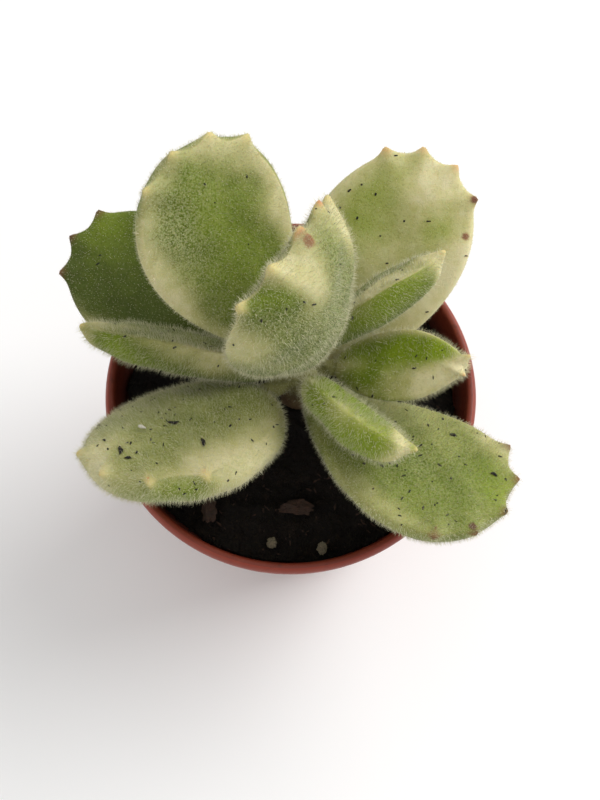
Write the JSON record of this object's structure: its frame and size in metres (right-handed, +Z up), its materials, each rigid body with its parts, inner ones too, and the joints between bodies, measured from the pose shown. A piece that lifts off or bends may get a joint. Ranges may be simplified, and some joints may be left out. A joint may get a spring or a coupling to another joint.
{
  "type": "potted succulent plant",
  "caption": "Small plastic nursery pot of dark soil holding a young succulent with thick furry pale-edged leaves and clawed leaf tips.",
  "frame": {"origin": "centre of the pot's flat underside", "axes": "+Z up the plant, -Y towards the front, +X to the right seen from the front"},
  "size_m": [0.0697, 0.06, 0.1],
  "materials": {
    "pot_plastic": "thin terracotta-coloured plastic, satin",
    "potting_soil": "dark moist crumbs of peat and bark",
    "stem_skin": "pale olive-brown, short hairs",
    "leaf_flesh": "velvety green with cream edges, fine white hairs",
    "bark": "dull brown",
    "perlite": "chalky off-white"
  },
  "bodies": {
    "root": {"pot": "pot_plastic", "soil": "potting_soil", "stem": "stem_skin", "leaf_back_left": "leaf_flesh", "leaf_far_left": "leaf_flesh", "leaf_left_narrow": "leaf_flesh", "leaf_front_left": "leaf_flesh", "leaf_top": "leaf_flesh", "leaf_right_narrow": "leaf_flesh", "leaf_back_right": "leaf_flesh", "leaf_right_small": "leaf_flesh", "leaf_front_small": "leaf_flesh", "leaf_front_right": "leaf_flesh", "bark_chip_1": "bark", "bark_chip_2": "bark", "bark_chip_3": "bark", "perlite_1": "perlite", "perlite_2": "perlite", "perlite_3": "perlite", "perlite_4": "perlite", "perlite_5": "perlite"}
  },
  "joints": []
}
